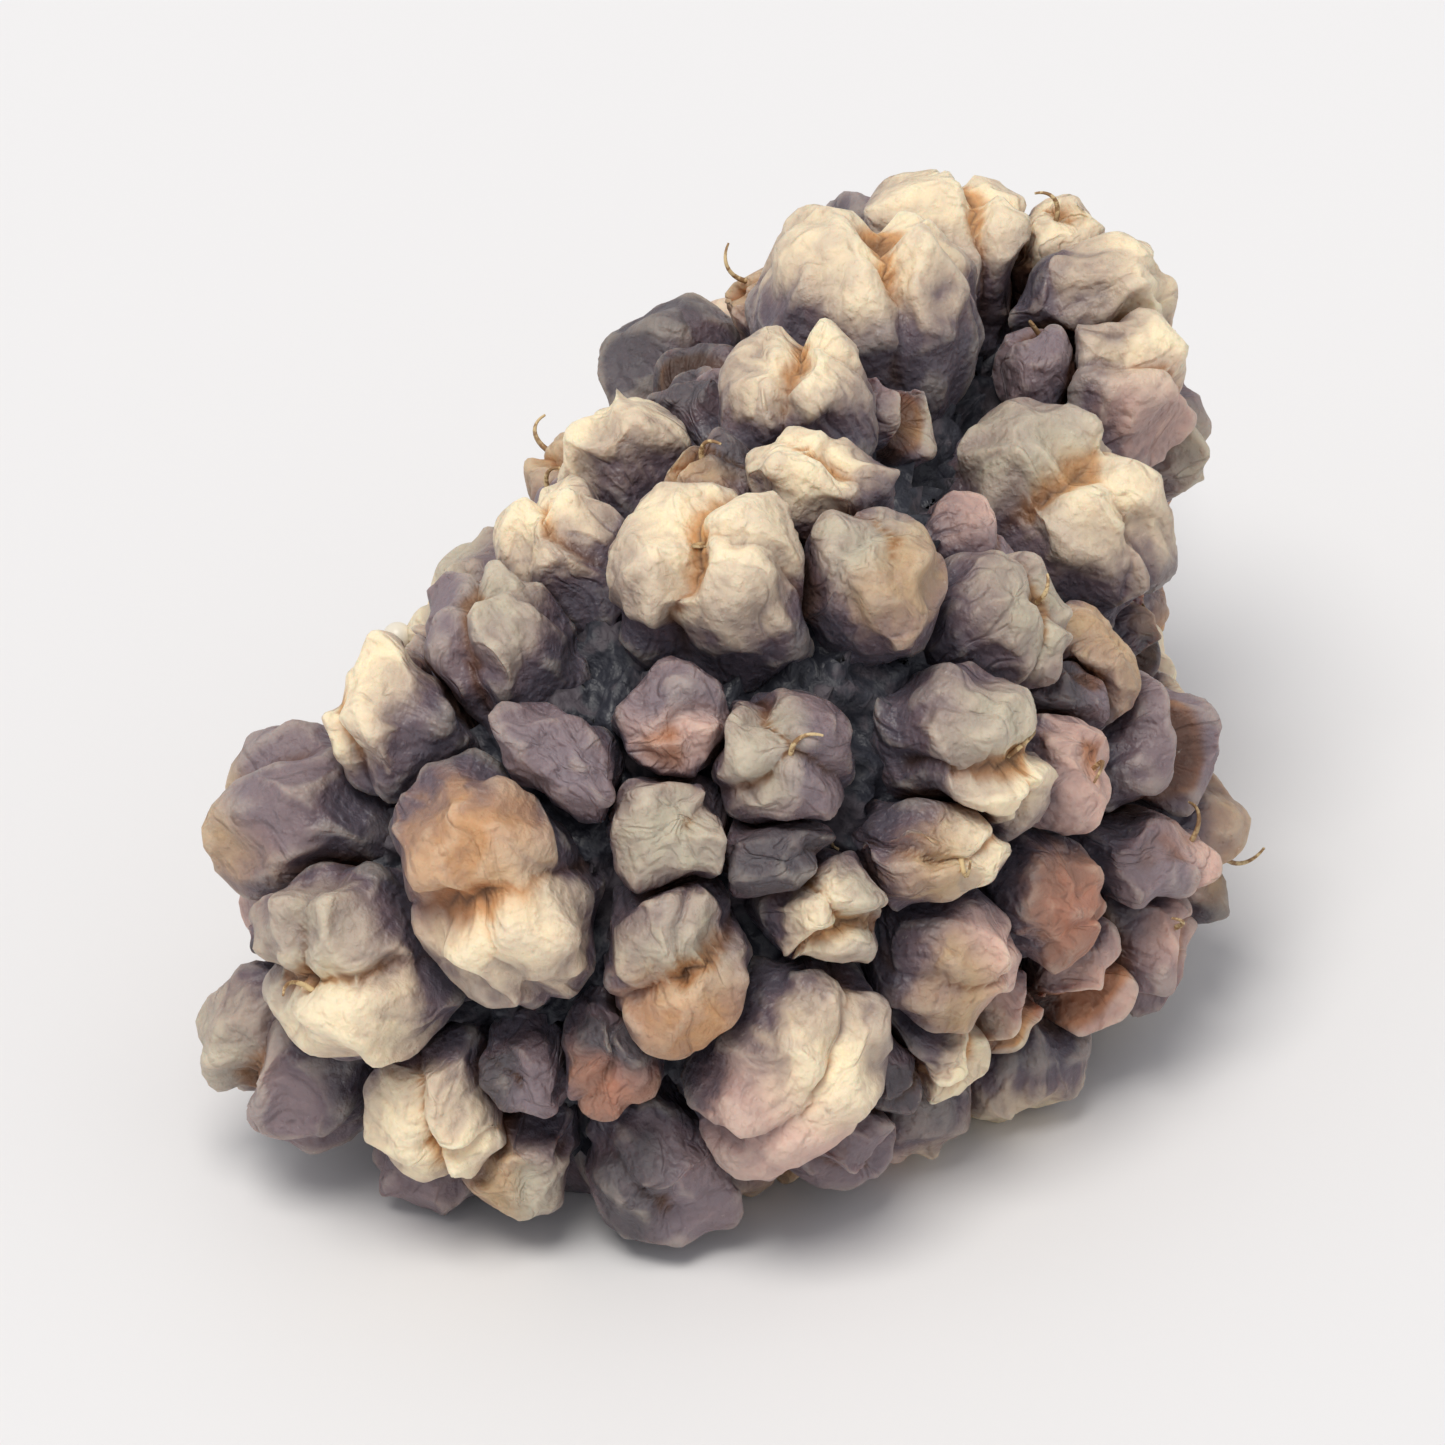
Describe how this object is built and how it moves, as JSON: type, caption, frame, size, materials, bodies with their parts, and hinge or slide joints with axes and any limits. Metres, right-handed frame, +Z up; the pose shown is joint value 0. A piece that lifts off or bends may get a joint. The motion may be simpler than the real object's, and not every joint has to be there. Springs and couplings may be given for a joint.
{
  "type": "dried mulberry",
  "caption": "Dried mulberry lying on its side: a puckered, bent cluster of dark purple drupelets with pale tan tops, and its short dry stalk.",
  "frame": {"origin": "on the surface that the fruit rests on, under the middle of the bounding box", "axes": "+Z up, +X along the fruit from its tip to its stem end"},
  "size_m": [0.0234, 0.0134, 0.0117],
  "materials": {
    "skin": "matt, wrinkled dry skin, dark purple in the clefts and tan on the tops",
    "stalk": "matt, dry and fibrous, straw-coloured"
  },
  "bodies": {
    "root": {"fruit": "skin", "stalk": "stalk"}
  },
  "joints": []
}
